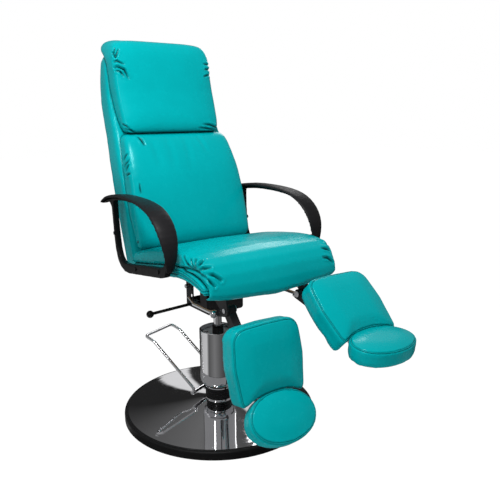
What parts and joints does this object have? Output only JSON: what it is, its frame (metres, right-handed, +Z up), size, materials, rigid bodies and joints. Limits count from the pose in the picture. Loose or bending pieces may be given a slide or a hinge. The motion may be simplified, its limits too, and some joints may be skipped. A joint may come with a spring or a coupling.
{
  "type": "podiatry chair",
  "caption": "Podiatry chair on a round chrome pump base, with a tilting padded seat and high back, loop armrests and two separate leg rests with oval foot pads.",
  "frame": {"origin": "on the floor under the middle of the round base", "axes": "+Z up, the sitter faces -Y, the sitter's right hand is towards -X; +X is towards the sitter's left"},
  "size_m": [0.6699, 1.1226, 1.2932],
  "materials": {
    "plate_steel": "matt, hidden",
    "edge_rubber": "satin black",
    "chrome": "polished",
    "black_steel": "satin black powder coat",
    "pump_iron": "dark grey",
    "steel": "plain zinc plate",
    "black_plastic": "fine grain",
    "soft_inlay": "soft touch, fine grain",
    "knob_plastic": "polished ball",
    "leatherette": "glossy turquoise leatherette",
    "plywood": "bare plywood, hidden",
    "bronze": "oiled bearing washer"
  },
  "bodies": {
    "base": {"base_plate": "plate_steel", "base_ring": "edge_rubber", "base_dome": "chrome", "neck_collar": "black_steel", "collar_rings": "chrome", "pump_body": "pump_iron", "pump_cover": "chrome", "pump_gland": "black_steel", "ram_wiper": "edge_rubber", "pump_bolts": "steel", "pedal_bracket": "black_steel", "pedal_pin": "steel"},
    "pedal": {"pedal_bar": "chrome", "pedal_hub": "chrome"},
    "lift": {"ram": "chrome", "thrust_washer": "bronze"},
    "swivel": {"tilt_housing": "black_steel", "swivel_socket": "black_steel", "tilt_pin": "steel", "lever_pin": "steel"},
    "tilt_handle": {"tilt_lever": "black_steel", "tilt_knob": "knob_plastic"},
    "seat": {"seat_bracket": "black_steel", "tilt_lock_bolt": "steel", "seat_fixings": "steel", "seat_board": "plywood", "seat_shell": "leatherette", "seat_cushion": "leatherette", "back_bracket": "black_steel", "back_board": "plywood", "back_shell": "leatherette", "back_cushion": "leatherette", "head_cushion": "leatherette", "armrest_left": "black_plastic", "armrest_right": "black_plastic", "armrest_pad_left": "soft_inlay", "armrest_pad_right": "soft_inlay", "armrest_bolts": "black_plastic", "leg_hanger_left": "black_steel", "leg_hanger_right": "black_steel", "leg_pin_left": "steel", "leg_pin_right": "steel"},
    "leg_left": {"leg_arm_left": "black_steel"},
    "calf_left": {"calf_slide_left": "steel", "calf_board_left": "pump_iron", "calf_pad_left": "leatherette"},
    "foot_left": {"foot_board_left": "pump_iron", "foot_pad_left": "leatherette"},
    "lock_left": {"lock_lever_left": "chrome"},
    "leg_right": {"leg_arm_right": "black_steel"},
    "calf_right": {"calf_slide_right": "steel", "calf_board_right": "pump_iron", "calf_pad_right": "leatherette"},
    "foot_right": {"foot_board_right": "pump_iron", "foot_pad_right": "leatherette"},
    "lock_right": {"lock_lever_right": "chrome"}
  },
  "joints": [
    {"name": "pedal_press", "type": "hinge", "parent": "base", "child": "pedal", "pos_m": [-0.02248, 0.05563, 0.08], "axis": [-0.9272, -0.3746, 0], "range_deg": [0, 12], "stiffness_Nm_per_rad": 10, "springref_deg": -17.19},
    {"name": "ram_lift", "type": "slide", "parent": "base", "child": "lift", "axis": [0, 0, 1], "range_m": [0, 0.15]},
    {"name": "swivel", "type": "hinge", "parent": "lift", "child": "swivel", "pos_m": [0, 0, 0.383], "axis": [0, 0, 1], "continuous": true},
    {"name": "tilt_release", "type": "hinge", "parent": "swivel", "child": "tilt_handle", "pos_m": [-0.052, 0.05, 0.4], "axis": [0, 1, 0], "range_deg": [0, 12]},
    {"name": "seat_tilt", "type": "hinge", "parent": "swivel", "child": "seat", "pos_m": [0, -0.025, 0.49], "axis": [-1, 0, 0], "range_deg": [-9, 6]},
    {"name": "leg_raise_left", "type": "hinge", "parent": "seat", "child": "leg_left", "pos_m": [-0.137, -0.28203, 0.47806], "axis": [-1, 0, 0], "range_deg": [-6, 54]},
    {"name": "leg_extend_left", "type": "slide", "parent": "leg_left", "child": "calf_left", "axis": [0, -0.1908, -0.9816], "range_m": [-0.005, 0.055]},
    {"name": "foot_tilt_left", "type": "hinge", "parent": "calf_left", "child": "foot_left", "pos_m": [-0.137, -0.48136, 0.20202], "axis": [1, 0, 0], "range_deg": [-7, 28]},
    {"name": "leg_lock_left", "type": "hinge", "parent": "seat", "child": "lock_left", "pos_m": [-0.165, -0.23749, 0.45886], "axis": [-1, 0, 0], "range_deg": [0, 35]},
    {"name": "leg_raise_right", "type": "hinge", "parent": "seat", "child": "leg_right", "pos_m": [0.137, -0.28203, 0.47806], "axis": [-1, 0, 0], "range_deg": [-42, 18]},
    {"name": "leg_extend_right", "type": "slide", "parent": "leg_right", "child": "calf_right", "axis": [0, -0.7314, -0.682], "range_m": [-0.025, 0.035]},
    {"name": "foot_tilt_right", "type": "hinge", "parent": "calf_right", "child": "foot_right", "pos_m": [0.137, -0.62017, 0.35827], "axis": [1, 0, 0], "range_deg": [0, 35]},
    {"name": "leg_lock_right", "type": "hinge", "parent": "seat", "child": "lock_right", "pos_m": [0.165, -0.23749, 0.45886], "axis": [-1, 0, 0], "range_deg": [0, 35]}
  ]
}
